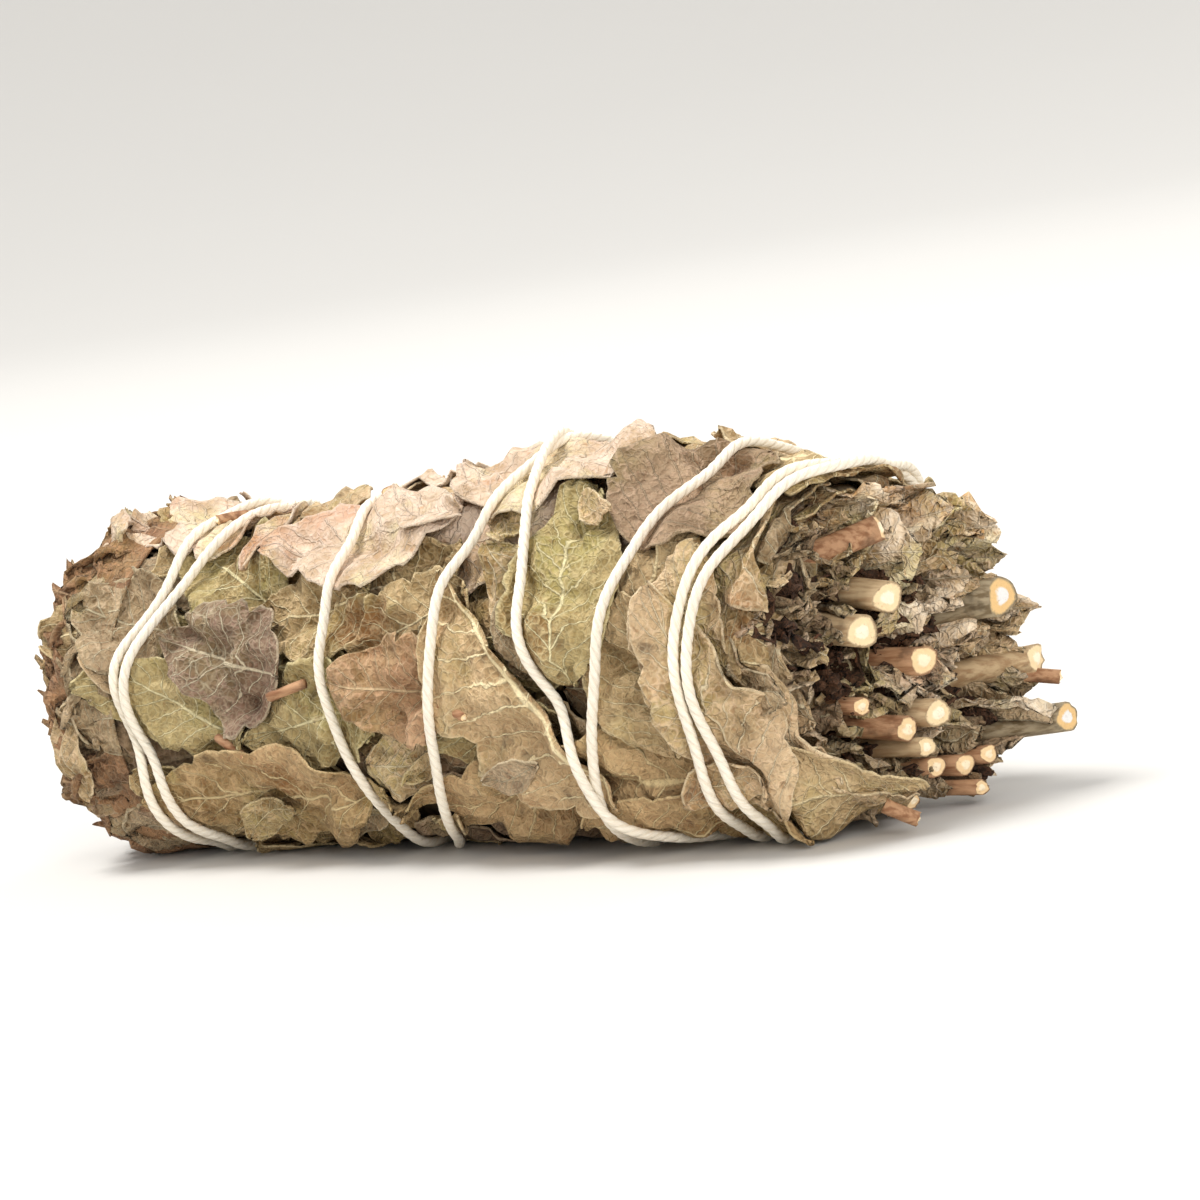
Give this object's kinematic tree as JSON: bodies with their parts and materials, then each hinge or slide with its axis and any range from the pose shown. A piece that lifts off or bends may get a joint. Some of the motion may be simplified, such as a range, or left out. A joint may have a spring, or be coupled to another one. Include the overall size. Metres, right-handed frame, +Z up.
{
  "type": "sage bunch",
  "caption": "Dried bunch of leafy sage stems, wound with one cotton string, lying on its side with its cut stem ends showing",
  "frame": {"origin": "on the surface that the bunch lies on, under the middle of its box", "axes": "+X along the bunch towards the cut stem ends, +Z up, -Y the side that faces the viewer"},
  "size_m": [0.1232, 0.047, 0.043],
  "materials": {
    "packed_leaves": "dry, dull, crumpled",
    "outer_leaves": "dry, dull, felted",
    "stems": "dry bark with pale cut ends",
    "string": "twisted cotton"
  },
  "bodies": {
    "root": {"leaf_mass": "packed_leaves", "string": "string", "wrap_leaf_01": "outer_leaves", "wrap_leaf_02": "outer_leaves", "wrap_leaf_03": "outer_leaves", "wrap_leaf_04": "outer_leaves", "wrap_leaf_05": "outer_leaves", "wrap_leaf_06": "outer_leaves", "wrap_leaf_07": "outer_leaves", "wrap_leaf_08": "outer_leaves", "wrap_leaf_09": "outer_leaves", "wrap_leaf_10": "outer_leaves", "wrap_leaf_11": "outer_leaves", "wrap_leaf_12": "outer_leaves", "wrap_leaf_13": "outer_leaves", "wrap_leaf_14": "outer_leaves", "wrap_leaf_15": "outer_leaves", "wrap_leaf_16": "outer_leaves", "wrap_leaf_17": "outer_leaves", "wrap_leaf_18": "outer_leaves", "wrap_leaf_19": "outer_leaves", "wrap_leaf_20": "outer_leaves", "wrap_leaf_21": "outer_leaves", "wrap_leaf_22": "outer_leaves", "wrap_leaf_23": "outer_leaves", "wrap_leaf_24": "outer_leaves", "stem_01": "stems", "stem_02": "stems", "stem_03": "stems", "stem_04": "stems", "stem_05": "stems", "stem_06": "stems", "stem_07": "stems", "stem_08": "stems", "stem_09": "stems", "stem_10": "stems", "stem_11": "stems", "stem_12": "stems", "stem_13": "stems", "stem_14": "stems", "stem_15": "stems", "stem_16": "stems"}
  },
  "joints": []
}
